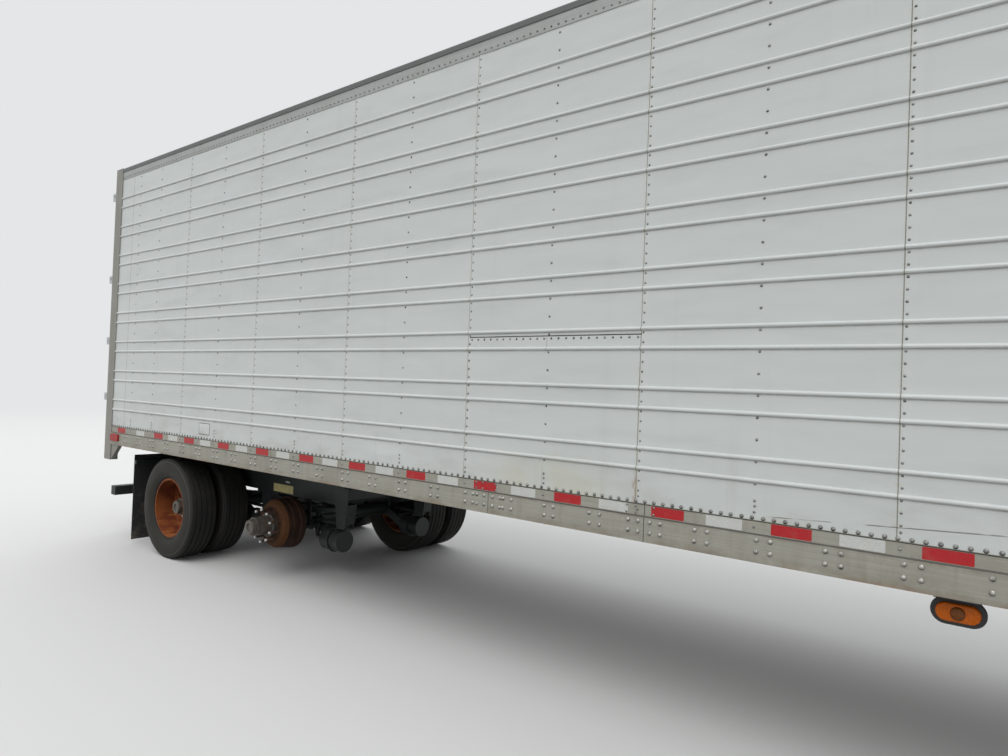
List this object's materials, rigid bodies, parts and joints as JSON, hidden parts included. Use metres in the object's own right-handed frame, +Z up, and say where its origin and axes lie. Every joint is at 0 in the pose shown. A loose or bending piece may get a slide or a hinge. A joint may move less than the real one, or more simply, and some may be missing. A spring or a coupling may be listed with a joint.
{
  "type": "semi trailer",
  "caption": "Insulated box van semi trailer with beaded side walls, swing rear doors, landing legs and a sliding tandem whose near front hub is bare.",
  "frame": {"origin": "on the ground under the centre of the whole trailer's box", "axes": "+X towards the nose, +Y towards the left side, +Z up"},
  "size_m": [16.774, 2.626, 4.089],
  "materials": {
    "white_skin": "weathered satin white",
    "rail_aluminium": "weathered mill finish",
    "frame_grey": "dull grey steel",
    "hinge_steel": "dull galvanised",
    "chassis_black": "worn black",
    "kingpin_steel": "greased steel",
    "tyre_rubber": "faded",
    "rim_rust": "orange rust",
    "drum_rust": "brown rust",
    "hub_grey": "dusty",
    "lamp_red": "moulded lens",
    "lamp_amber": "moulded lens",
    "black_rubber": "dull",
    "unit_white": "moulded",
    "grille_black": "moulded",
    "tank_aluminium": "dull"
  },
  "bodies": {
    "van": {"side_wall_right": "white_skin", "side_wall_left": "white_skin", "repair_panel": "white_skin", "front_wall": "white_skin", "roof": "white_skin", "bottom_rails": "rail_aluminium", "top_rails": "rail_aluminium", "front_frame": "rail_aluminium", "floor": "rail_aluminium", "rear_frame": "frame_grey", "hinge_butts": "hinge_steel", "crossmembers": "chassis_black", "coupler_plate": "chassis_black", "slide_rails": "chassis_black", "landing_legs": "chassis_black", "landing_feet": "chassis_black", "landing_braces": "chassis_black", "landing_crank": "chassis_black", "underride_guard": "chassis_black", "kingpin": "kingpin_steel", "red_lamps": "lamp_red", "amber_lamps": "lamp_amber", "lamp_housings": "black_rubber", "refrigeration_unit": "unit_white", "unit_grille": "grille_black", "fuel_tank": "tank_aluminium", "gladhands": "tank_aluminium"},
    "tandem": {"slider_frame": "chassis_black", "leaf_springs": "chassis_black", "equalizers": "chassis_black", "spring_clamps": "chassis_black", "radius_rods": "chassis_black", "axle_front": "chassis_black", "axle_rear": "chassis_black", "brake_chambers": "chassis_black", "air_tank": "chassis_black", "mud_flaps": "black_rubber"},
    "door_right": {"door_right": "white_skin", "door_hardware_right": "hinge_steel"},
    "door_left": {"door_left": "white_skin", "door_hardware_left": "hinge_steel"},
    "wheel_front_right": {"hub_front_right": "hub_grey", "drum_front_right": "drum_rust"},
    "wheel_front_left": {"hub_front_left": "hub_grey", "drum_front_left": "drum_rust", "rims_front_left": "rim_rust", "tyres_front_left": "tyre_rubber"},
    "wheel_rear_right": {"hub_rear_right": "hub_grey", "drum_rear_right": "drum_rust", "rims_rear_right": "rim_rust", "tyres_rear_right": "tyre_rubber"},
    "wheel_rear_left": {"hub_rear_left": "hub_grey", "drum_rear_left": "drum_rust", "rims_rear_left": "rim_rust", "tyres_rear_left": "tyre_rubber"}
  },
  "joints": [
    {"name": "tandem_slide", "type": "slide", "parent": "van", "child": "tandem", "axis": [1, 0, 0], "range_m": [0, 2.1]},
    {"name": "door_right_hinge", "type": "hinge", "parent": "van", "child": "door_right", "pos_m": [-8.313, -1.28, 2.6], "axis": [0, 0, 1], "range_deg": [0, 270]},
    {"name": "door_left_hinge", "type": "hinge", "parent": "van", "child": "door_left", "pos_m": [-8.313, 1.28, 2.6], "axis": [0, 0, -1], "range_deg": [0, 270]},
    {"name": "wheel_front_right_spin", "type": "hinge", "parent": "tandem", "child": "wheel_front_right", "pos_m": [-5.566, -0.94, 0.495], "axis": [0, 1, 0], "continuous": true},
    {"name": "wheel_front_left_spin", "type": "hinge", "parent": "tandem", "child": "wheel_front_left", "pos_m": [-5.566, 0.94, 0.495], "axis": [0, 1, 0], "continuous": true},
    {"name": "wheel_rear_right_spin", "type": "hinge", "parent": "tandem", "child": "wheel_rear_right", "pos_m": [-6.887, -0.94, 0.495], "axis": [0, 1, 0], "continuous": true},
    {"name": "wheel_rear_left_spin", "type": "hinge", "parent": "tandem", "child": "wheel_rear_left", "pos_m": [-6.887, 0.94, 0.495], "axis": [0, 1, 0], "continuous": true}
  ]
}
